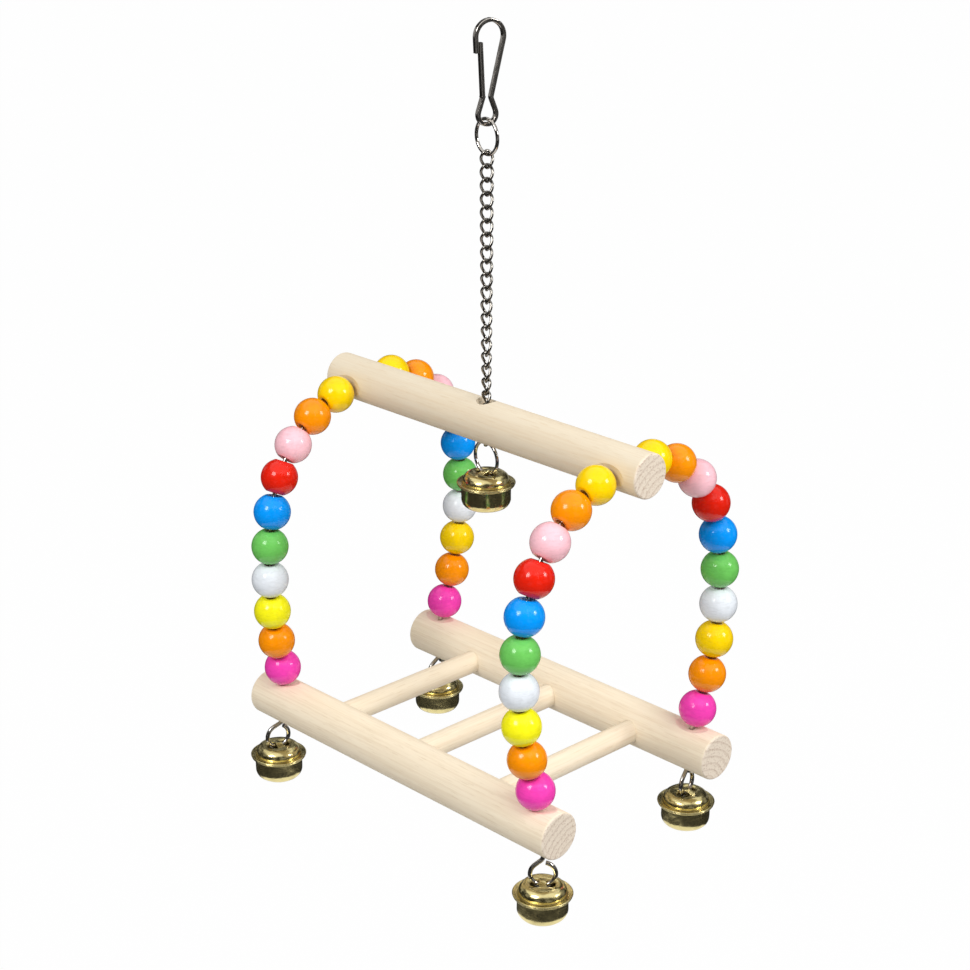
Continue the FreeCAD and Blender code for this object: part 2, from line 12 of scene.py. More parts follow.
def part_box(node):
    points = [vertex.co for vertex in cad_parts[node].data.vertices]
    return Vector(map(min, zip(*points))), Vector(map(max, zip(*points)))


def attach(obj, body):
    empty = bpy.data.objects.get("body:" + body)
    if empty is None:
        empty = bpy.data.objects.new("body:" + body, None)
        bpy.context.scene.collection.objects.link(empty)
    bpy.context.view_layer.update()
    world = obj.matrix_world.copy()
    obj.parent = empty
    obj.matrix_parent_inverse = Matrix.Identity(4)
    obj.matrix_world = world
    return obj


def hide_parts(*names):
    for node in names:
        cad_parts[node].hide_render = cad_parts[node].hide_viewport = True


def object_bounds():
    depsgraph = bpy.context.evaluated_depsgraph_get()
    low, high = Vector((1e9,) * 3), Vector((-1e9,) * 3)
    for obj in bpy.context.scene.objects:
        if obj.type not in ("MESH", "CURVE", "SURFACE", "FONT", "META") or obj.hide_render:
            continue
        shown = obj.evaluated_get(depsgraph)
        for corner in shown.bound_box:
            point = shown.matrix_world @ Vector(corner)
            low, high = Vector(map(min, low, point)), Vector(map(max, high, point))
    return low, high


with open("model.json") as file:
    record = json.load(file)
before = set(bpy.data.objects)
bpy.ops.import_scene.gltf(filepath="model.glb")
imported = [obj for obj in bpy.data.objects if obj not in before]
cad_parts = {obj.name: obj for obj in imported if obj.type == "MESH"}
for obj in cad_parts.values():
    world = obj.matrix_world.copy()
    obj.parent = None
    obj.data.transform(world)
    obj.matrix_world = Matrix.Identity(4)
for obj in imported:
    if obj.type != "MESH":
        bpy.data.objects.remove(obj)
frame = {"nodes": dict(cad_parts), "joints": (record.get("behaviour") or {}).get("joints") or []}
CAD_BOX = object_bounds()

bl_info = {
    "name": "Hanging bird gym",
    "version": (1, 0, 0),
    "blender": (4, 5, 0),
    "location": "View3D > Sidebar > Bird gym",
    "description": "Beads, bells, wire and wood of a hanging play gym for a pet bird",
    "category": "Object",
}

MM = 0.001
TURN = 2 * math.pi
PAINTS = ("yellow", "orange", "pink", "red", "blue", "green", "white", "lemon", "magenta")
BELLS = ("front_left", "front_right", "rear_left", "rear_right", "centre")
DOWELS = {  # node: (axis it runs along, heart of the tree across it in mm, seed, lightness, partly own tone and partly painted light and shade)
    "top_perch": (0, (5.0, -9.0), 1.0, 0.85),
    "front_rail": (0, (7.0, -11.0), 2.0, 1.02),
    "rear_rail": (0, (-6.0, -10.0), 3.0, 0.98),
    "left_rung": (1, (9.0, 4.0), 4.0, 0.95),
    "middle_rung": (1, (-8.0, 5.0), 5.0, 0.95),
    "right_rung": (1, (6.0, -9.0), 6.0, 0.92),
}

# Sizes of the beads
BEAD_SPAN = 12.6 * MM        # a bead's points lie this near to each other, and no like bead's do
MOUTH_SHARE = 0.975          # points nearer to its middle than this share are its hole's mouths
ROUND_STEPS = 6              # points on each small round of its outline
BALL_STEPS = 38              # points on the ball between them
LIP_REACH = 1.6 * MM         # the paint is thin this near to its hole

# Sizes of the bells
BELL_STEPS = 112             # directions round a bell
CROWN_STEPS = 400            # points on each of the two arcs of its crown
CROWN_POINTS = 2 * CROWN_STEPS - 1
RIM_STEPS = 40               # points on its rim, and on the hollow round beside it
SHELL_STEPS = 48             # points of the sheet from its hole to that round
HOLLOW = 0.9                 # radius of the round, in sheets
CAP_LIP = 0.4 * MM           # the cap dips this deep at its opening
LIP_FADE = 0.7 * MM          # and the dip dies away over this length
DENT_START = 1.5 * MM        # the dents reach their depth this far from the hole
CREASE_PLACE = 0.5 * MM      # tarnish lies in the hollow round, this far past its start
CREASE_WIDE = 0.45 * MM
EDGE_WIDE = 0.35 * MM        # and along the hole's edge
STRAP_STEPS = 41             # points along the strap
BAND_STEPS = 32              # points round its band
STRAP_FOOT = 1.6             # its feet stand this far past the opening, in sheets
STRAP_SINK = 0.12 * MM       # and sink this deep into the cap

# Sizes and tones of the stage
SENSOR = 36.0                # width of the camera's sensor in mm
FLOOR_REACH = 12.0           # radius of the floor
FLOOR_GREY = 0.5
FLOOR_WHITE = 0.99           # share of its own white in what a lens sees of the floor
ROOM_DARK = 0.03             # darkest grey of the ring and walls
RING_OUT = (0.4, 1.2, 1.95)  # rows of the dark ring on the floor, out from the chain
WALL_UP = (0.2, 0.8, 1.5)    # rows of the walls, which stand at the ring's outer edge
ROOM_LIFT = 0.004            # ring and walls start this far above the floor
LAMP_AWAY = 1.15             # from each lamp to the point that it lights
AIM_DROP = 0.03              # that point lies this far below the gym's middle
# Each lamp's way to the camera's right, up and back, and its width
SMALL_LAMPS = {"left": ((-0.53, 0.35, 0.77), 0.44), "right": ((0.84, 0.33, 0.43), 0.34)}
SOFT_LAMPS = {"high": ((0.4, 0.4, 0.83), 0.8), "back": ((0.15, 0.62, -0.77), 0.8)}


def linear(red, green, blue):
    """A screen colour of 0 to 255 as the light values that a shader takes."""
    c = np.array((red, green, blue)) / 255
    return tuple(np.where(c < 0.04045, c / 12.92, ((c + 0.055) / 1.055) ** 2.4))


# Settings

def tint(name, about, rgb):
    """A colour that a user can change."""
    return FloatVectorProperty(name=name, description=about, subtype="COLOR", size=3, min=0, max=1,
                               default=linear(*rgb))


def size(name, about, value):
    """A size in millimetres that a user can change."""
    return FloatProperty(name=name, description=about, default=value * MM, min=0, unit="LENGTH")


def share(name, about, value):
    """A value of 0 to 1 that a user can change."""
    return FloatProperty(name=name, description=about, default=value, min=0, max=1,
                         subtype="FACTOR")


def angle(name, about, degrees):
    """An angle in degrees that a user can change."""
    return FloatProperty(name=name, description=about, default=math.radians(degrees),
                         subtype="ANGLE")


def power(name, about, watts):
    """A lamp's power in watts that a user can change."""
    return FloatProperty(name=name, description=about, default=watts, min=0, unit="POWER")


class GymBeadSettings(bpy.types.PropertyGroup):
    """Paint colours and turning of the wooden beads."""
    yellow: tint("Yellow", "Beads next to the perch and the eighth ones behind", (255, 214, 0))
    orange: tint("Orange", "Second and ninth beads", (255, 149, 0))
    pink: tint("Pink", "Third beads", (255, 199, 209))
    red: tint("Red", "Fourth beads", (228, 32, 10))
    blue: tint("Blue", "Fifth beads", (0, 153, 252))
    green: tint("Green", "Sixth beads", (111, 199, 93))
    white: tint("White", "Seventh beads", (234, 239, 245))
    lemon: tint("Lemon", "Eighth beads at the front", (253, 246, 24))
    magenta: tint("Magenta", "Last beads above the rails", (248, 68, 182))
    gloss_roughness: share("Roughness", "Blur of the paint's shine", 0.19)
    bare_wood: tint("Bare wood", "Wood that shows where the paint is thin", (226, 200, 160))
    edge_round: size("Edge round", "Rounding where the flat ends meet the ball", 0.8)
    mouth_round: size("Mouth round", "Rounding of the hole's mouth", 0.4)
    around: IntProperty(name="Steps round", description="Steps round each bead",
                        default=64, min=12)


class GymWoodSettings(bpy.types.PropertyGroup):
    """Colours and grain of the perch, rails and rungs."""
    pale: tint("Pale wood", "Early wood between the growth rings", (249, 235, 210))
    dark: tint("Dark wood", "Late wood and fibres", (219, 196, 162))
    end: tint("End grain", "Sawn end faces", (239, 226, 208))
    end_dark: tint("End rings", "Growth rings on the sawn ends", (180, 154, 132))
    ring_spacing: FloatProperty(name="Ring spacing",
                                description="Distance from growth ring to growth ring",
                                default=2.2 * MM, min=0.1 * MM, unit="LENGTH")


class GymWireSettings(bpy.types.PropertyGroup):
    """Plating of the hook, rings, chain and arch wires."""
    nickel: tint("Nickel", "Plating of the hook, rings and wires", (206, 200, 192))
    # The chain's plating is the same nickel painted darker: painted shade that makes the chain as
    # dark as it looks
    chain: tint("Chain", "Duller plating of the chain's links", (150, 146, 139))
    roughness: share("Roughness", "Blur of the plating's shine", 0.07)


class GymBellSettings(bpy.types.PropertyGroup):
    """Sheet, sizes and colours of the jingle bells."""
    brass: tint("Brass", "Sheet of the bells", (232, 217, 156))
    tarnish: tint("Tarnish", "Dull brown of the creases", (122, 102, 58))
    steel: tint("Pellet steel", "Loose balls in the bells", (128, 126, 122))
    sheet: size("Sheet", "Thickness of the metal", 0.5)
    rim: size("Rim radius", "Outside of the rim", 9.3)
    rim_up: size("Rim rise", "Rim's outer edge above its inner edge", 0.4)
    rim_in: size("Lower rim", "Cup's rim inside the cap's rim", 0.2)
    cap: size("Cap radius", "Outside of the cap's straight side", 7.45)
    cap_high: size("Cap height", "Top of the cap above the rim", 3.5)
    cap_straight: size("Cap side", "Height of the cap's straight side", 0.6)
    cup: size("Cup radius", "Outside of the cup's straight side", 7.85)
    cup_deep: size("Cup depth", "Base of the cup below the rim", 8.5)
    cup_straight: size("Cup side", "Depth of the cup's straight side", 5.2)
    window_long: size("Opening length", "Opening in the cap's top", 8.2)
    window_wide: size("Opening width", "Opening in the cap's top", 4.0)
    strap_wide: size("Strap width", "Bridge across the opening", 2.2)
    strap_up: size("Strap rise", "Bridge above the cap", 0.6)
    slot_long: size("Slot length", "Between the round ends of the cup's slot", 9.6)
    slot_wide: size("Slot width", "Straight part of the cup's slot", 1.7)
    slot_end: size("Slot ends", "Round holes at the slot's ends", 3.0)
    dent: size("Dents", "Depth of the soft dents in the sheet", 0.05)


class GymStageSettings(bpy.types.PropertyGroup):
    """Camera, lamps and floor."""
    place: FloatVectorProperty(name="Camera place", description="Where the camera stands", size=3,
                               subtype="TRANSLATION", unit="LENGTH",
                               default=(0.463409, -0.450158, 0.100003))
    azimuth: angle("Azimuth", "Camera's turn about the chain", 45.863)
    elevation: angle("Elevation", "Camera's tilt above the level", 20.701)
    roll: angle("Roll", "Camera's turn about its own line of sight", 0.108)
    lens: FloatProperty(name="Lens", description="Focal length on a 36 mm wide sensor",
                        unit="CAMERA", default=81.562, min=1)
    floor_drop: size("Floor drop", "Floor below the lowest bell", 320)
    left_power: power("Left lamp", "Power of the lamp at the camera's left", 6.1)
    right_power: power("Right lamp", "Power of the lamp at the camera's right", 4.3)
    high_power: power("High lamp", "Power of the soft lamp high on the right", 6.8)
    back_power: power("Back lamp", "Power of the soft lamp behind the gym", 4.0)
    ambient: FloatProperty(name="Room light", description="Strength of the light from all round",
                           default=0.37, min=0)


# Finishes

class Finish:
    """A node material being put together on Object coordinates."""

    def __init__(self, name):
        self.material = bpy.data.materials.new(name)
        self.material.use_nodes = True
        self.tree = self.material.node_tree
        self.shader = self.tree.nodes["Principled BSDF"]
        self.place = self.add("TexCoord").outputs["Object"]

    def feed(self, socket, value):
        """Links a socket, or sets a plain value."""
        if isinstance(value, bpy.types.NodeSocket):
            self.tree.links.new(value, socket)
        elif value is not None:
            socket.default_value = value

    def add(self, kind, *values, **settings):
        """A node with its settings, and its inputs filled in order."""
        node = self.tree.nodes.new("ShaderNode" + kind)
        for key, value in settings.items():
            setattr(node, key, value)
        for socket, value in zip(node.inputs, values):
            self.feed(socket, value)
        return node

    def math(self, operation, *values, clamp=False):
        """Result of one sum on numbers."""
        return self.add("Math", *values, operation=operation, use_clamp=clamp).outputs[0]

    def scaled(self, factors, shift=(0, 0, 0), source=None):
        """Coordinates shifted, then stretched along each axis."""
        moved = self.add("VectorMath", source or self.place, shift, operation="ADD").outputs[0]
        return self.add("VectorMath", moved, factors, operation="MULTIPLY").outputs[0]

    def noise(self, vector, detail=2.0, roughness=0.5):
        """Cloudy values about one half."""
        node = self.add("TexNoise")
        for key, value in (("Vector", vector), ("Scale", 1.0), ("Detail", detail),
                           ("Roughness", roughness)):
            self.feed(node.inputs[key], value)
        return node.outputs["Fac"]

    def band(self, value, low, high, out_low=0.0, out_high=1.0):
        """A smooth step of a value from one level to another."""
        node = self.add("MapRange", value, low, high, out_low, out_high,
                        interpolation_type="SMOOTHSTEP")
        return node.outputs["Result"]

    def blend(self, factor, first, second):
        """Two colours mixed by a factor."""
        node = self.add("Mix", data_type="RGBA")
        for index, value in ((0, factor), (6, rgba(first)), (7, rgba(second))):
            self.feed(node.inputs[index], value)
        return node.outputs[2]

    def bump(self, height, depth, below=None):
        """Normals of a relief of that depth in metres, laid over another relief."""
        node = self.add("Bump")
        node.inputs["Strength"].default_value = 1.0
        node.inputs["Distance"].default_value = depth
        self.feed(node.inputs["Height"], height)
        self.feed(node.inputs["Normal"], below)
        return node.outputs["Normal"]

    def done(self, **sockets):
        """Feeds the shader's sockets, named with _ for a space."""
        for key, value in sockets.items():
            self.feed(self.shader.inputs[key.replace("_", " ")], value)
        return self.material


def rgba(colour):
    """A plain colour with full alpha; a socket is passed on."""
    return colour if isinstance(colour, bpy.types.NodeSocket) else (*colour[:3], 1.0)


def wood_finish(node, settings):
    """Solid wood: growth rings about a heart line beside the dowel, so sides and ends agree."""
    axis, heart, seed, tone_and_painted_light = DOWELS[node]
    # Each dowel's pale wood is made lighter or darker: partly its own tone, partly painted light
    # and shade for how that dowel is lit
    pale = tuple(min(1.0, tone_and_painted_light * c) for c in settings.pale)
    low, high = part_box(node)
    middle = (low + high) / 2
    f = Finish(node + "_wood")
    local = f.add("VectorMath", f.place, middle, operation="SUBTRACT").outputs[0]
    x, y, z = f.add("SeparateXYZ", local).outputs
    along, across = (x, y) if axis == 0 else (y, x)
    grain = f.add("CombineXYZ", along, across, z).outputs[0]
    shift = (seed, 2.7 * seed, 1.3 * seed)
    # Growth rings: distance from the heart line, made uneven by slow noise along the trunk
    sway = f.noise(f.scaled((9, 160, 160), shift, grain), detail=2)
    dy = f.math("SUBTRACT", across, heart[0] * MM)
    dz = f.math("SUBTRACT", z, heart[1] * MM)
    radius = f.math("SQRT", f.math("ADD", f.math("MULTIPLY", dy, dy), f.math("MULTIPLY", dz, dz)))
    radius = f.math("MULTIPLY_ADD", sway, 1.4 * MM, radius)
    turn = f.math("FRACT", f.math("DIVIDE", radius, settings.ring_spacing))
    late = f.math("MULTIPLY", f.band(turn, 0.2, 0.86), f.band(turn, 0.9, 1.0, 1.0, 0.0))
    # Fibres and pores run along the dowel
    fibre = f.noise(f.scaled((34, 1500, 1500), shift, grain), detail=3, roughness=0.6)
    streak = f.band(fibre, 0.42, 0.72)
    pore = f.band(f.noise(f.scaled((170, 3300, 3300), shift, grain), detail=1), 0.63, 0.72)
    cloud = f.noise(f.scaled((24, 70, 70), shift, grain), detail=2)
    # Sawn ends: past the rounded edge the pores are cut across and the face drinks more light
    half = (high[axis] - low[axis]) / 2
    at_end = f.band(f.math("ABSOLUTE", along), half - 0.45 * MM, half - 0.1 * MM)
    saw = f.noise(f.scaled((0.0, 240, 2600), shift, grain), detail=2)
    tone = f.math("ADD", f.math("MULTIPLY", late, 0.12), f.math("MULTIPLY", streak, 0.26))
    tone = f.math("ADD", tone, f.math("MULTIPLY", f.band(cloud, 0.35, 0.7), 0.2), clamp=True)
    side = f.blend(tone, pale, settings.dark)
    side = f.blend(f.math("MULTIPLY", pore, 0.42), side, settings.dark)
    edge = f.math("MULTIPLY", f.band(turn, 0.5, 0.9), f.band(turn, 0.92, 1.0, 1.0, 0.0))
    speck = f.band(f.noise(f.scaled((0.0, 1500, 1500), shift, grain), detail=2), 0.5, 0.72)
    cut = f.math("MULTIPLY_ADD", saw, 0.24, f.math("MULTIPLY", edge, 0.3))
    cut = f.math("MULTIPLY_ADD", speck, 0.5, cut, clamp=True)
    face = f.blend(cut, settings.end, settings.end_dark)
    colour = f.blend(at_end, side, face)
    relief = f.math("SUBTRACT", f.math("MULTIPLY", fibre, 0.7), f.math("MULTIPLY", pore, 0.5))
    relief = f.math("MULTIPLY_ADD", f.math("MULTIPLY", at_end, saw), 1.6, relief)
    rough = f.math("MULTIPLY_ADD", fibre, 0.22, 0.5)
    return f.done(Base_Color=colour, Roughness=rough, Normal=f.bump(relief, 0.05 * MM),
                  Specular_IOR_Level=0.32)


def paint_finish(paint, settings):
    """Gloss paint over turned wood: brush waves, the grain's ghost, thin paint at the hole."""
    f = Finish(paint + "_gloss_paint")
    base = getattr(settings, paint)
    dim = tuple(0.8 * c for c in base)
    lip = f.add("Attribute", attribute_name="lip").outputs["Fac"]
    wave = f.noise(f.scaled((260, 260, 190)), detail=3, roughness=0.55)
    peel = f.noise(f.scaled((1500, 1500, 1100)), detail=2)
    grain = f.noise(f.scaled((420, 420, 1600), (0.3, 0.1, 0.2)), detail=3, roughness=0.65)
    colour = f.blend(f.band(wave, 0.4, 0.72, 0.0, 0.4), base, dim)
    colour = f.blend(f.band(grain, 0.46, 0.68, 0.0, 0.5), colour, dim)
    worn = f.math("MULTIPLY", f.band(lip, 0.55, 1.0), f.band(peel, 0.36, 0.6))
    colour = f.blend(f.math("MULTIPLY", worn, 0.5), colour, settings.bare_wood)
    rough = f.math("MULTIPLY_ADD", peel, 0.12, settings.gloss_roughness - 0.06)
    relief = f.math("MULTIPLY_ADD", wave, 1.1, f.math("MULTIPLY", peel, 0.3))
    relief = f.math("MULTIPLY_ADD", grain, 0.3, relief)
    return f.done(Base_Color=colour, Roughness=rough, Normal=f.bump(relief, 0.05 * MM),
                  Coat_Weight=0.25, Coat_Roughness=0.09, Specular_IOR_Level=0.25)


def nickel_finish(name, plate, settings):
    """Nickel plate: bright, with drawing lines, dull patches and rubbed spots."""
    f = Finish(name)
    cloud = f.noise(f.scaled((310, 310, 310)), detail=3)
    speck = f.noise(f.scaled((2400, 2400, 2400)), detail=2)
    lines = f.noise(f.scaled((900, 900, 5200)), detail=2)
    dull = tuple(0.72 * c for c in plate)
    colour = f.blend(f.band(cloud, 0.45, 0.75), plate, dull)
    rough = f.math("MULTIPLY_ADD", f.band(cloud, 0.4, 0.75), 0.12, settings.roughness)
    rough = f.math("MULTIPLY_ADD", speck, 0.08, rough)
    relief = f.math("ADD", f.math("MULTIPLY", lines, 0.5), f.math("MULTIPLY", speck, 0.5))
    return f.done(Base_Color=colour, Metallic=1.0, Roughness=rough,
                  Normal=f.bump(relief, 0.012 * MM))


def brass_finish(bell, settings):
    """Polished brass sheet: spinning marks round the bell, soft dents and brown in the creases."""
    low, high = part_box(bell + "_bell_cap")
    middle = (low + high) / 2
    f = Finish(bell + "_bell_brass")
    local = f.add("VectorMath", f.place, middle, operation="SUBTRACT").outputs[0]
    x, y, z = f.add("SeparateXYZ", local).outputs
    out = f.math("SQRT", f.math("ADD", f.math("MULTIPLY", x, x), f.math("MULTIPLY", y, y)))
    spun = f.add("CombineXYZ", f.math("MULTIPLY", out, 4200.0), f.math("MULTIPLY", z, 4200.0), 0.0)
    marks = f.noise(spun.outputs[0], detail=2)
    cloud = f.noise(f.scaled((220, 220, 220)), detail=3)
    speck = f.noise(f.scaled((1700, 1700, 1700)), detail=3)
    crease = f.add("Attribute", attribute_name="crease").outputs["Fac"]
    colour = f.blend(f.band(cloud, 0.42, 0.75, 0.0, 0.3), settings.brass, settings.tarnish)
    colour = f.blend(f.math("MULTIPLY", f.math("MULTIPLY", crease, crease), 0.85), colour,
                     settings.tarnish)
    rough = f.math("MULTIPLY_ADD", f.band(cloud, 0.4, 0.8), 0.12, 0.16)
    rough = f.math("MULTIPLY_ADD", speck, 0.08, rough)
    rough = f.math("MULTIPLY_ADD", crease, 0.2, rough)
    waves = f.bump(cloud, 0.22 * MM)
    relief = f.math("ADD", f.math("MULTIPLY", marks, 0.8), f.math("MULTIPLY", speck, 0.3))
    return f.done(Base_Color=colour, Metallic=1.0, Roughness=rough,
                  Normal=f.bump(relief, 0.012 * MM, waves))


def pellet_finish(settings):
    """Plain steel ball: grey, scuffed by rolling."""
    f = Finish("pellet_scuffed_steel")
    scuff = f.noise(f.scaled((900, 900, 900)), detail=4, roughness=0.65)
    colour = f.blend(scuff, settings.steel, tuple(0.45 * c for c in settings.steel))
    rough = f.math("MULTIPLY_ADD", scuff, 0.3, 0.22)
    return f.done(Base_Color=colour, Metallic=1.0, Roughness=rough,
                  Normal=f.bump(scuff, 0.02 * MM))


# Surfaces

def grid_faces(rows, columns, close_rows, close_columns):
    """Quads between neighbours of a grid of points; a closed side joins its last to its first."""
    r = np.arange(rows if close_rows else rows - 1)
    c = np.arange(columns if close_columns else columns - 1)
    r0, c0 = np.meshgrid(r, c, indexing="ij")
    r1, c1 = (r0 + 1) % rows, (c0 + 1) % columns
    corners = [r0 * columns + c0, r0 * columns + c1, r1 * columns + c1, r1 * columns + c0]
    return np.stack(corners, axis=-1).reshape(-1, 4)


def surface_piece(name, points, faces, tones, finish, ends=()):
    """A smooth mesh of points in metres; tones are named values on them, ends its end faces."""
    mesh = bpy.data.meshes.new(name)
    mesh.from_pydata(points.tolist(), [], faces.tolist() + [list(e) for e in ends])
    mesh.polygons.foreach_set("use_smooth", np.ones(len(mesh.polygons), dtype=bool))
    for tone, values in tones.items():
        mesh.attributes.new(tone, "FLOAT", "POINT").data.foreach_set(
            "value", np.ascontiguousarray(values, dtype=np.float32))
    mesh.materials.append(finish)
    mesh.update()
    piece = bpy.data.objects.new(name, mesh)
    bpy.context.scene.collection.objects.link(piece)
    return piece


def node_points(node):
    """All corner points of a CAD node, in metres."""
    vertices = frame["nodes"][node].data.vertices
    flat = np.empty(3 * len(vertices), dtype=np.float32)
    vertices.foreach_get("co", flat)
    return flat.reshape(-1, 3).astype(float)


def bead_places(node):
    """Middle, axis, radius, half length and bore radius of each bead in a node of like beads.

    A bead is the same both ways about its middle, so the middle of its box is its own. Only the
    hole's mouths lie nearer than the ball's radius, and the line between them is the axis.
    """
    left = node_points(node)
    beads = []
    while len(left):
        near = np.linalg.norm(left - left[0], axis=1) < BEAD_SPAN
        own, left = left[near], left[~near]
        middle = (own.min(axis=0) + own.max(axis=0)) / 2
        arm = own - middle
        reach = np.linalg.norm(arm, axis=1)
        mouth = arm[reach < MOUTH_SHARE * reach.max()]
        axis = np.linalg.eigh(mouth.T @ mouth)[1][:, 2]
        height = arm @ axis
        bore = np.sqrt(np.maximum(reach ** 2 - height ** 2, 0)).min()
        beads.append((middle, axis, reach.max(), np.abs(height).max(), bore))
    return beads


def arc(centre, radius, start, end, steps):
    """Points on an arc in the plane, from one angle to another, as (out, up)."""
    a = np.linspace(start, end, steps)
    return np.stack([centre[0] + radius * np.cos(a), centre[1] + radius * np.sin(a)], axis=-1)


def bead_outline(radius, half, bore, edge, mouth):
    """Closed outline of a bead, out from its axis and along it.

    The hole's side, a quarter round at its mouth, the flat end, a round that touches the flat and
    the ball, the ball's arc, and the same again below. The second value tells how near a point is
    to the hole's mouth.
    """
    inset = math.sqrt((radius - edge) ** 2 - (half - edge) ** 2)
    lean = math.atan2(half - edge, inset)
    top = np.concatenate([
        arc((bore + mouth, half - mouth), mouth, math.pi, math.pi / 2, ROUND_STEPS),
        arc((inset, half - edge), edge, math.pi / 2, lean, ROUND_STEPS),
    ])
    ball = arc((0.0, 0.0), radius, lean, -lean, BALL_STEPS)[1:-1]
    outline = np.concatenate([top, ball, top[::-1] * (1, -1)])
    out, up = outline.T
    lip = np.clip(1.0 - (out - bore) / LIP_REACH, 0, 1) * (np.abs(up) > 0.6 * half)
    return outline, lip


def across(axis):
    """Two directions square to an axis and to each other."""
    first = np.cross(axis, (0.0, 0.0, 1.0) if abs(axis[2]) < 0.9 else (1.0, 0.0, 0.0))
    first /= np.linalg.norm(first)
    return first, np.cross(axis, first)


def string_of_beads(node, settings):
    """Each bead's outline carried round its axis: middle + out(cos, sin) + up along the axis."""
    a = np.linspace(0, TURN, settings.around, endpoint=False)
    points, faces, lips = [], [], []
    for middle, axis, radius, half, bore in bead_places(node):
        outline, lip = bead_outline(radius, half, bore, settings.edge_round, settings.mouth_round)
        u, v = across(axis)
        spoke = np.cos(a)[:, None] * u + np.sin(a)[:, None] * v
        grid = middle + outline[None, :, :1] * spoke[:, None] + outline[None, :, 1:] * axis
        quads = grid_faces(len(a), len(outline), True, True)
        faces.append(quads + sum(len(p) for p in points))
        points.append(grid.reshape(-1, 3))
        lips.append(np.tile(lip, len(a)))
    return np.concatenate(points), np.concatenate(faces), {"lip": np.concatenate(lips)}


def crown_curve(radius, height, straight):
    """Two arcs that touch: level at the middle of a crown, upright where its straight side starts.

    Each tangent has the same length d to the corner of its arc, where d solves
    2 d d + 2 d (r + h) = r r + h h for the crown's reach r and rise h.
    """
    rise = height - straight
    d = (-(radius + rise) + math.sqrt((radius + rise) ** 2 + 2 * (radius ** 2 + rise ** 2))) / 2
    fall = math.atan2(rise - d, radius - d)
    flat_r, round_r = d / math.tan(fall / 2), d / math.tan((math.pi / 2 - fall) / 2)
    top = arc((0.0, height - flat_r), flat_r, math.pi / 2, math.pi / 2 - fall, CROWN_STEPS)
    side = arc((radius - round_r, straight), round_r, math.pi / 2 - fall, 0.0, CROWN_STEPS)
    return np.concatenate([top[:-1], side])


def cap_curve(b):
    """Middle of the cap's sheet: crown, straight side, a hollow round and the rim."""
    half, slope = b.sheet / 2, b.rim_up / (b.rim - b.cap)
    crown = crown_curve(b.cap - half, b.cap_high - half, b.cap_straight)
    r = HOLLOW * b.sheet
    x = b.cap - half + r
    z = slope * (x - b.cap) - half + r * math.hypot(1, slope)
    hollow = arc((x, z), r, math.pi, 1.5 * math.pi + math.atan(slope), RIM_STEPS)
    out = np.linspace(hollow[-1, 0], b.rim - half, RIM_STEPS)[1:]
    rim = np.stack([out, slope * (out - b.cap) - half], axis=-1)
    return np.concatenate([crown, hollow, rim])


def cup_curve(b):
    """Middle of the cup's sheet: base, corner, straight side, a hollow round and the rim."""
    half, slope = b.sheet / 2, b.rim_up / (b.rim - b.cap)
    base = crown_curve(b.cup - half, b.cup_deep - half, b.cup_straight) * (1, -1)
    r = HOLLOW * b.sheet
    x = b.cup - half + r
    z = slope * (x - b.cap) - b.sheet - half - r * math.hypot(1, slope)
    hollow = arc((x, z), r, math.pi, math.pi / 2 + math.atan(slope), RIM_STEPS)
    out = np.linspace(hollow[-1, 0], b.rim - b.rim_in - half, RIM_STEPS)[1:]
    rim = np.stack([out, slope * (out - b.cap) - b.sheet - half], axis=-1)
    return np.concatenate([base, hollow, rim])


def window_reach(a, b):
    """Distance from the axis to the edge of the cap's opening, a slot with round ends."""
    half, centre = b.window_wide / 2, (b.window_long - b.window_wide) / 2
    c, s = np.abs(np.cos(a)), np.abs(np.sin(a))
    straight = half / np.maximum(s, 1e-6)
    rounded = centre * c + np.sqrt(np.maximum(half ** 2 - (centre * s) ** 2, 0))
    return np.where(straight * c < centre, straight, rounded)


def slot_reach(a, b):
    """Distance from the axis to the edge of the cup's slot, which flares into its round ends."""
    c, s = np.abs(np.cos(a)), np.abs(np.sin(a))
    centre, end = b.slot_long / 2, b.slot_end / 2
    straight = b.slot_wide / 2 / np.maximum(s, 1e-6)
    rounded = centre * c + np.sqrt(np.maximum(end ** 2 - (centre * s) ** 2, 0))
    return np.where(centre * s < end, rounded, straight)


def normals(line):
    """Directions along lines in the plane, and those a quarter turn to their left."""
    t = np.gradient(line, axis=-2)
    t /= np.linalg.norm(t, axis=-1, keepdims=True)
    return t, np.stack([-t[..., 1], t[..., 0]], axis=-1)


def soft_dents(turn, way):
    """Three waves that run round the bell and slide along its sheet, within one each way."""
    return 0.4 * (np.cos(3 * turn + 1.3 + 9 * way) + 0.7 * np.cos(5 * turn + 4.1 - 14 * way)
                  + 0.5 * np.cos(8 * turn + 0.6 + 21 * way))


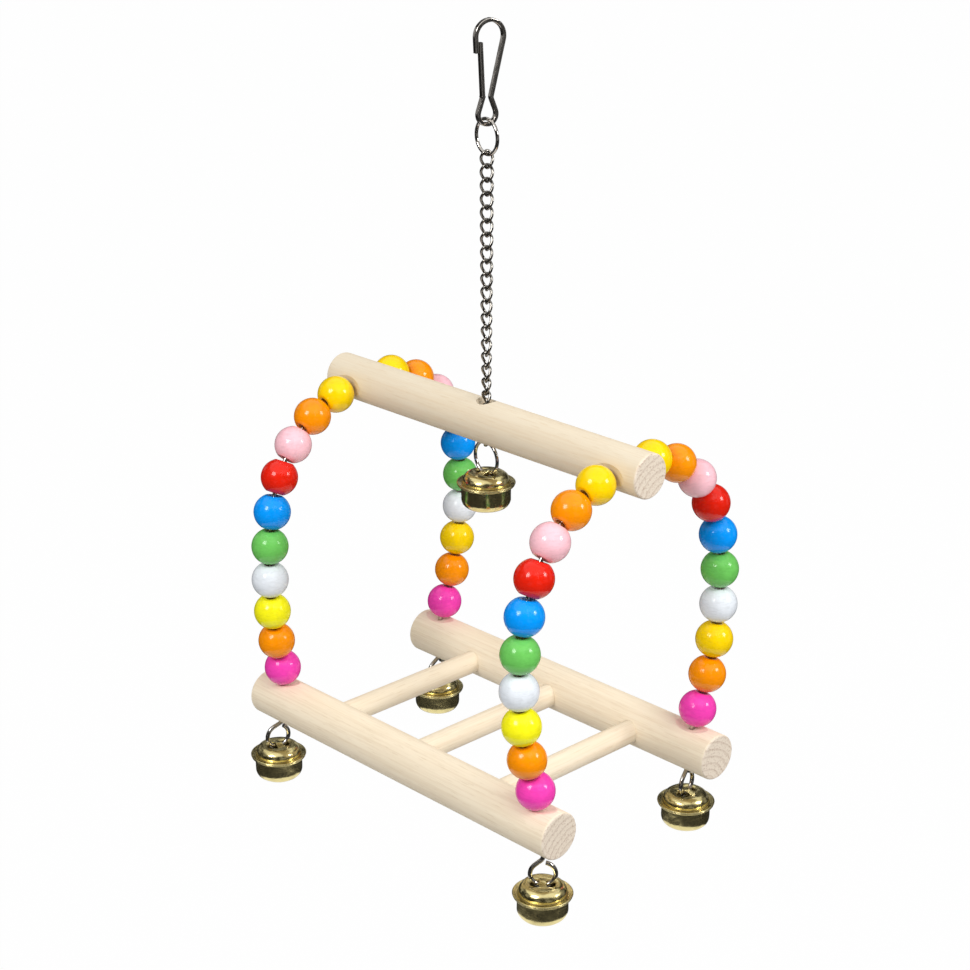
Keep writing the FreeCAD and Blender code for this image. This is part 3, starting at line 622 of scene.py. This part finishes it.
def pressed_shell(curve, reach, a, b, lip, outward):
    """A sheet of even thickness about an axis, with a hole in its middle.

    At each angle the curve runs from the hole's edge to the rim. Its middle line is bent by lip at
    the hole and by soft dents, then moved half a sheet to both sides, and both ends are rounded.
    """
    length = np.concatenate([[0], np.cumsum(np.linalg.norm(np.diff(curve, axis=0), axis=1))])
    start = np.interp(reach, curve[:CROWN_POINTS, 0], length[:CROWN_POINTS])[:, None]
    hollow, rim = length[CROWN_POINTS], length[-1]
    near = start + (hollow - start) * np.linspace(0, 1, SHELL_STEPS)[None, :] ** 1.15
    # Points stand closer together in the hollow round than on the rim
    marks = np.unique(np.concatenate([np.linspace(0, 1, 15), np.linspace(0, 0.5, 16)]))[1:]
    far = hollow + (rim - hollow) * marks
    along = np.concatenate([near, np.tile(far, (len(a), 1))], axis=1)
    line = np.stack([np.interp(along, length, curve[:, k]) for k in (0, 1)], axis=-1)
    # The dents fade out at the hole and at the rim, so that both edges keep their place
    way, past_hole = along / rim, along - start
    hold = np.clip((1 - way) * 5, 0, 1) * np.clip(past_hole / DENT_START, 0, 1)
    push = b.dent * soft_dents(a[:, None], way) * hold - lip * np.exp(-past_hole / LIP_FADE)
    line += push[..., None] * normals(line)[1] * outward
    t, n = normals(line)
    n = n * outward
    half = b.sheet / 2
    bend = np.linspace(0, math.pi, 7)[1:-1][None, :, None]
    rim_end = line[:, -1:] + half * (np.cos(bend) * n[:, -1:] + np.sin(bend) * t[:, -1:])
    hole_end = line[:, :1] + half * (-np.cos(bend) * n[:, :1] - np.sin(bend) * t[:, :1])
    inside = (line - half * n)[:, ::-1]
    section = np.concatenate([line + half * n, rim_end, inside, hole_end], axis=1)
    # Tarnish lies in the hollow round and at the hole, and the inside is dull all over
    crease = np.exp(-((along - hollow - CREASE_PLACE) / CREASE_WIDE) ** 2)
    crease = np.maximum(crease, 0.8 * np.exp(-past_hole / EDGE_WIDE))
    ones = np.ones((len(a), bend.shape[1]))
    dull = np.maximum(crease[:, ::-1], 0.7)
    crease = np.concatenate([crease, 0.2 * ones, dull, 0.8 * ones], axis=1)
    spoke = np.stack([np.cos(a), np.sin(a)], axis=-1)
    points = np.concatenate([section[..., :1] * spoke[:, None], section[..., 1:]], axis=-1)
    faces = grid_faces(len(a), section.shape[1], True, True)
    return points.reshape(-1, 3), faces if outward > 0 else faces[:, ::-1], crease.ravel()


def cap_strap(b):
    """The bridge over the cap's opening: a rounded band along an arch that sinks into the cap.

    Between its feet the arch stands at low + rise ((1 + cos(pi y / foot)) / 2) ** 0.8.
    """
    half = b.sheet / 2
    foot = b.window_wide / 2 + STRAP_FOOT * b.sheet
    y = np.linspace(-foot, foot, STRAP_STEPS)
    low = b.cap_high - half - STRAP_SINK
    rise = b.cap_high + b.strap_up - half - low
    z = low + rise * ((1 + np.cos(math.pi * y / foot)) / 2) ** 0.8
    path = np.stack([y, z], axis=-1)
    n = normals(path)[1]
    k = np.linspace(0, TURN, BAND_STEPS, endpoint=False)
    side = (b.strap_wide / 2 - half) * np.sign(np.cos(k)) + half * np.cos(k)
    flare = 1 + 0.25 * (np.abs(y) / foot) ** 3
    band = path[:, None] + n[:, None] * half * np.sin(k)[:, None]
    points = np.concatenate([(flare[:, None] * side)[..., None], band], axis=-1)
    crease = np.tile(0.5 * (np.abs(y) / foot) ** 4, (len(k), 1)).T
    faces = grid_faces(len(y), len(k), False, True)[:, ::-1]
    first, last = np.arange(len(k)), (len(y) - 1) * len(k) + np.arange(len(k))
    return points.reshape(-1, 3), faces, crease.ravel(), [first, last[::-1]]


def bell_place(bell):
    """Middle of the rim and the turn of the bell about it, read from its cap and its swing."""
    low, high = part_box(bell + "_bell_cap")
    swing = next(j for j in frame["joints"] if j["name"] == f"bell_{bell}_swing")
    x, y = swing["axis"][:2]
    return np.array([(low.x + high.x) / 2, (low.y + high.y) / 2, low.z]), math.atan2(y, x)


def set_bell(points, place, turn, sheet):
    """Points about the rim turned to the bell's heading and moved to its place."""
    c, s = math.cos(turn), math.sin(turn)
    return points @ np.array([[c, s, 0], [-s, c, 0], [0, 0, 1]]) + place + (0, 0, sheet)


def bell_parts(b):
    """Cap with its strap, and cup, about the rim: points, faces, creases and end faces of each."""
    a = np.linspace(0, TURN, BELL_STEPS, endpoint=False)
    # The slot is sharp where its round ends start, so two directions stand close together there
    neck = math.asin(b.slot_end / b.slot_long)
    corners = np.add.outer((-neck, neck, math.pi - neck, math.pi + neck), (-2e-3, 2e-3))
    slotted = np.unique(np.concatenate([a, corners.ravel() % TURN]))
    cup = pressed_shell(cup_curve(b), slot_reach(slotted, b), slotted, b, 0.0, -1)
    points, faces, crease = pressed_shell(cap_curve(b), window_reach(a, b), a, b, CAP_LIP, 1)
    strap_points, strap_faces, strap_crease, strap_ends = cap_strap(b)
    cap = (np.concatenate([points, strap_points]),
           np.concatenate([faces, strap_faces + len(points)]),
           np.concatenate([crease, strap_crease]),
           [end + len(points) for end in strap_ends])
    return {"cap": cap, "cup": (*cup, [])}


def disc_grid(up, radius, steps=64):
    """A flat disc at a height: rings of growing radius about the chain."""
    r, a = np.meshgrid(np.linspace(0.02, 1, 12) * radius,
                       np.linspace(0, TURN, steps, endpoint=False), indexing="ij")
    return np.stack([r * np.cos(a), r * np.sin(a), 0 * r + up], axis=-1)


def sweep_grid(section, steps=48):
    """A sheet all round the chain: a section of (out, up) points carried over all directions."""
    a, r = np.meshgrid(np.linspace(0, TURN, steps), section[:, 0], indexing="ij")
    return np.stack([r * np.sin(a), -r * np.cos(a), np.tile(section[:, 1], (steps, 1))], axis=-1)


# Stage

def seen_rays(tree):
    """One for rays from the lens, by way of a shine or through glass too, and else nought."""
    path = tree.nodes.new("ShaderNodeLightPath").outputs
    seen = path["Is Camera Ray"]
    for ray in ("Is Glossy Ray", "Is Transmission Ray"):
        most = tree.nodes.new("ShaderNodeMath")
        most.operation = "MAXIMUM"
        tree.links.new(seen, most.inputs[0])
        tree.links.new(path[ray], most.inputs[1])
        seen = most.outputs[0]
    return seen


def floor_finish():
    """Pale floor paint with a slow cloud in it; most of what a lens sees of it is its own white."""
    f = Finish("floor_white")
    cloud = f.noise(f.scaled((2, 2, 2)), detail=2)
    tone = f.blend(cloud, (FLOOR_GREY,) * 3, (0.97 * FLOOR_GREY,) * 3)
    grit = f.noise(f.scaled((60, 60, 60)), detail=2)
    f.done(Base_Color=tone, Roughness=f.math("MULTIPLY_ADD", grit, 0.1, 0.85),
           Specular_IOR_Level=0.1, Normal=f.bump(grit, 0.5 * MM))
    white = f.add("Emission", (1, 1, 1, 1), 1.0).outputs[0]
    part = f.math("MULTIPLY", seen_rays(f.tree), FLOOR_WHITE)
    mixed = f.add("MixShader", part, f.shader.outputs[0], white)
    f.tree.links.new(mixed.outputs[0], f.tree.nodes["Material Output"].inputs["Surface"])
    return f.material


def room_finish(name, light):
    """The room as a shiny piece sees it: dark, with soft lighter patches."""
    f = Finish(name)
    cloud = f.noise(f.scaled((1.7, 1.7, 1.1), (3.1, 0.4, 1.9)), detail=1)
    tone = f.blend(f.band(cloud, 0.51, 0.59), (ROOM_DARK,) * 3, (light,) * 3)
    grit = f.noise(f.scaled((60, 60, 60)), detail=2)
    return f.done(Base_Color=tone, Roughness=f.math("MULTIPLY_ADD", grit, 0.1, 0.85),
                  Specular_IOR_Level=0.1, Normal=f.bump(grit, 1 * MM))


def camera_turn(settings):
    """The camera's right, up and back as columns, from its azimuth, elevation and roll."""
    a, e, r = settings.azimuth, settings.elevation, settings.roll
    right = Vector((math.cos(a), math.sin(a), 0))
    back = Vector((math.sin(a) * math.cos(e), -math.cos(a) * math.cos(e), math.sin(e)))
    up = back.cross(right)
    return Matrix((right * math.cos(r) + up * math.sin(r),
                   up * math.cos(r) - right * math.sin(r), back)).transposed()


def set_camera(scene, settings):
    """Stands the camera at its place and gives it to the scene."""
    camera = bpy.data.objects.new("camera", bpy.data.cameras.new("camera"))
    scene.collection.objects.link(camera)
    camera.matrix_world = Matrix.Translation(settings.place) @ camera_turn(settings).to_4x4()
    camera.data.lens, camera.data.sensor_width = settings.lens, SENSOR
    camera.data.clip_start, camera.data.clip_end = 0.01, 50.0
    scene.camera = camera


def set_room(settings):
    """Lays the floor, and the dark ring and dim walls that show only in the pieces' shine."""
    floor_up = CAD_BOX[0].z - settings.floor_drop
    grid = disc_grid(floor_up, FLOOR_REACH)
    faces = grid_faces(*grid.shape[:2], False, True)[:, ::-1]
    floor = surface_piece("floor", grid.reshape(-1, 3), faces, {}, floor_finish(),
                          ends=[range(grid.shape[1])])
    low = floor_up + ROOM_LIFT
    ring = np.array([(out, low) for out in RING_OUT])
    walls = np.array([(RING_OUT[-1], up) for up in (low, *WALL_UP)])
    for name, section, finish in (("dark_ring", ring, room_finish("dark_ring_felt", 0.05)),
                                  ("dim_walls", walls, room_finish("dim_wall_paint", 0.8))):
        grid = sweep_grid(section)
        faces = grid_faces(*grid.shape[:2], False, False)
        sheet = surface_piece(name, grid.reshape(-1, 3), faces, {}, finish)
        sheet.visible_camera = sheet.visible_diffuse = sheet.visible_shadow = False


def set_lamps(scene, settings):
    """Hangs the small lamps that make the highlights, and the soft ones that show in no shine."""
    aim = Vector((0, 0, (CAD_BOX[0].z + CAD_BOX[1].z) / 2 - AIM_DROP))
    for side, (way, wide) in (SMALL_LAMPS | SOFT_LAMPS).items():
        light = bpy.data.lights.new(side + "_lamp", "AREA")
        light.shape, light.size = "DISK", wide
        light.energy = getattr(settings, side + "_power")
        lamp = bpy.data.objects.new(side + "_lamp", light)
        scene.collection.objects.link(lamp)
        direction = (camera_turn(settings) @ Vector(way)).normalized()
        lamp.location = aim + direction * LAMP_AWAY
        lamp.visible_glossy = side in SMALL_LAMPS
        lamp.rotation_mode = "QUATERNION"
        lamp.rotation_quaternion = direction.to_track_quat("Z", "Y")


def set_world(scene, settings):
    """Fills the room with even light from all round, and shows it white to the lens."""
    scene.world = bpy.data.worlds.new("white_room")
    scene.world.use_nodes = True
    tree = scene.world.node_tree
    room, seen = tree.nodes["Background"], tree.nodes.new("ShaderNodeBackground")
    for sky, strength in ((room, settings.ambient), (seen, 1.0)):
        sky.inputs["Color"].default_value = (1, 1, 1, 1)
        sky.inputs["Strength"].default_value = strength
    mix = tree.nodes.new("ShaderNodeMixShader")
    for socket, source in zip(mix.inputs, (seen_rays(tree), room.outputs[0], seen.outputs[0])):
        tree.links.new(source, socket)
    tree.links.new(mix.outputs[0], tree.nodes["World Output"].inputs["Surface"])


# Operators

def give(node, finish):
    """Puts a finish into all slots of a CAD node."""
    slots = frame["nodes"][node].data.materials
    for index in range(len(slots)):
        slots[index] = finish


class GYM_OT_beads(bpy.types.Operator):
    """Turn the painted beads of all four strings"""
    bl_idname = "gym.beads"
    bl_label = "Beads"

    def execute(self, context):
        settings = context.scene.gym_beads
        for paint in PAINTS:
            node = paint + "_beads"
            points, faces, tones = string_of_beads(node, settings)
            piece = surface_piece(paint + "_turned_beads", points, faces, tones,
                                  paint_finish(paint, settings))
            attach(piece, "gym")
            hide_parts(node)
        return {"FINISHED"}


class GYM_OT_dowels(bpy.types.Operator):
    """Give the perch, rails and rungs their wood"""
    bl_idname = "gym.dowels"
    bl_label = "Perch, rails and rungs"

    def execute(self, context):
        for node in DOWELS:
            give(node, wood_finish(node, context.scene.gym_wood))
        return {"FINISHED"}


class GYM_OT_wires(bpy.types.Operator):
    """Plate the hook, rings, chain and arch wires"""
    bl_idname = "gym.wires"
    bl_label = "Hook, chain and wires"

    def execute(self, context):
        settings = context.scene.gym_wires
        bright = nickel_finish("bright_nickel", settings.nickel, settings)
        # The chain gets a darker copy of the same nickel: painted shade
        dull = nickel_finish("chain_nickel", settings.chain, settings)
        for node in frame["nodes"]:
            if node.startswith("link_"):
                give(node, dull)
            elif node.startswith("hook_") or node.endswith(("_ring", "_wire")):
                give(node, bright)
        return {"FINISHED"}


class GYM_OT_bells(bpy.types.Operator):
    """Press the bells' caps and cups and give their pellets a finish"""
    bl_idname = "gym.bells"
    bl_label = "Bells"

    def execute(self, context):
        b = context.scene.gym_bells
        scuffed = pellet_finish(b)
        parts = bell_parts(b)
        for bell in BELLS:
            brass = brass_finish(bell, b)
            place, turn = bell_place(bell)
            for name, (points, faces, crease, ends) in parts.items():
                points = set_bell(points, place, turn, b.sheet)
                piece = surface_piece(f"{bell}_pressed_{name}", points, faces,
                                      {"crease": crease}, brass, ends)
                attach(piece, bell + "_bell")
                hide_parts(f"{bell}_bell_{name}")
            give(bell + "_bell_pellet", scuffed)
        return {"FINISHED"}


class GYM_OT_stage(bpy.types.Operator):
    """Set up the floor, lamps, room light and camera"""
    bl_idname = "gym.stage"
    bl_label = "Stage"

    def execute(self, context):
        scene, settings = context.scene, context.scene.gym_stage
        set_camera(scene, settings)
        set_room(settings)
        set_lamps(scene, settings)
        set_world(scene, settings)
        scene.view_settings.view_transform = "Standard"
        return {"FINISHED"}


class GYM_PT_panel(bpy.types.Panel):
    """Lists the gym's pieces and their settings"""
    bl_idname = "GYM_PT_panel"
    bl_label = "Bird gym"
    bl_space_type = "VIEW_3D"
    bl_region_type = "UI"
    bl_category = "Bird gym"

    def draw(self, context):
        for operator, group in ((GYM_OT_dowels, "gym_wood"), (GYM_OT_beads, "gym_beads"),
                                (GYM_OT_wires, "gym_wires"), (GYM_OT_bells, "gym_bells"),
                                (GYM_OT_stage, "gym_stage")):
            box = self.layout.box()
            box.operator(operator.bl_idname)
            settings = getattr(context.scene, group)
            for key in settings.bl_rna.properties.keys():
                if key not in ("rna_type", "name"):
                    box.prop(settings, key)


GROUPS = {"gym_wood": GymWoodSettings, "gym_beads": GymBeadSettings, "gym_wires": GymWireSettings,
          "gym_bells": GymBellSettings, "gym_stage": GymStageSettings}
CLASSES = (*GROUPS.values(), GYM_OT_dowels, GYM_OT_beads, GYM_OT_wires, GYM_OT_bells, GYM_OT_stage,
           GYM_PT_panel)


def register():
    """Registers the classes and hangs the settings on the scene."""
    for item in CLASSES:
        bpy.utils.register_class(item)
    for name, group in GROUPS.items():
        setattr(bpy.types.Scene, name, PointerProperty(type=group))


def unregister():
    """Takes the settings and classes away again."""
    for name in GROUPS:
        delattr(bpy.types.Scene, name)
    for item in reversed(CLASSES):
        bpy.utils.unregister_class(item)


def main():
    """Builds all pieces and the stage."""
    register()
    bpy.ops.gym.dowels()
    bpy.ops.gym.beads()
    bpy.ops.gym.wires()
    bpy.ops.gym.bells()
    bpy.ops.gym.stage()


if __name__ == "__main__":
    main()
